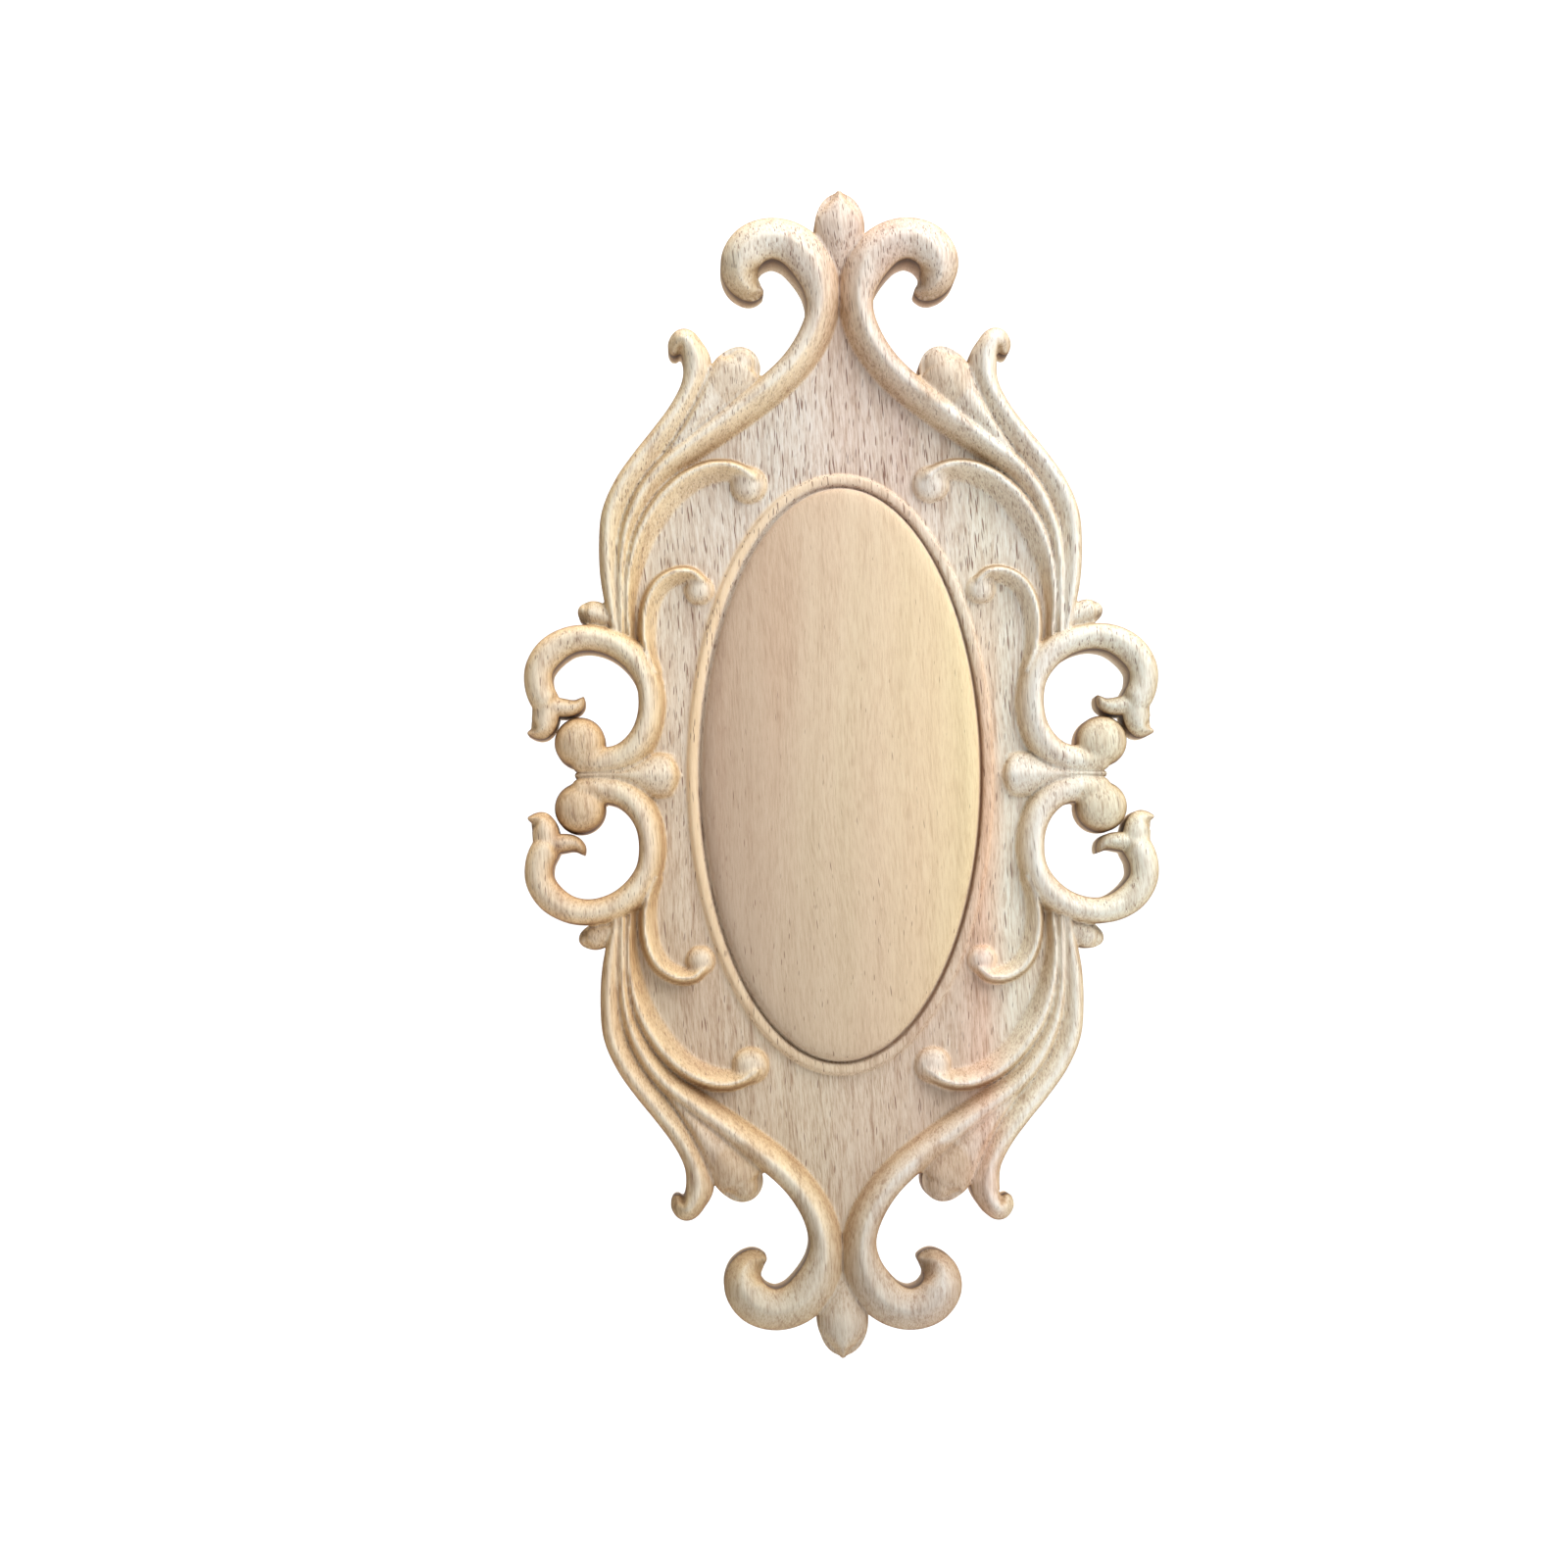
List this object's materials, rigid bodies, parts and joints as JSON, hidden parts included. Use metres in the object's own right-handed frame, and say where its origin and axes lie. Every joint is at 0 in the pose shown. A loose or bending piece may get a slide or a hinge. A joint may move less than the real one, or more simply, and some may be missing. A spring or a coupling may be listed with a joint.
{
  "type": "wood applique",
  "caption": "Carved wood applique with an oval medallion, scrolled ends, leaf buds and pierced side scrolls, flat at the back so that it is glued or pinned to a panel.",
  "frame": {"origin": "middle of the flat back, where the applique is fixed to a panel", "axes": "+Z along the long axis up, +X across the width, +Y out of the back into the panel, so the carved front faces -Y"},
  "size_m": [0.1082, 0.01, 0.1998],
  "materials": {
    "wood": "bare sanded wood, matt"
  },
  "bodies": {
    "root": {"carved_applique": "wood"}
  },
  "joints": []
}
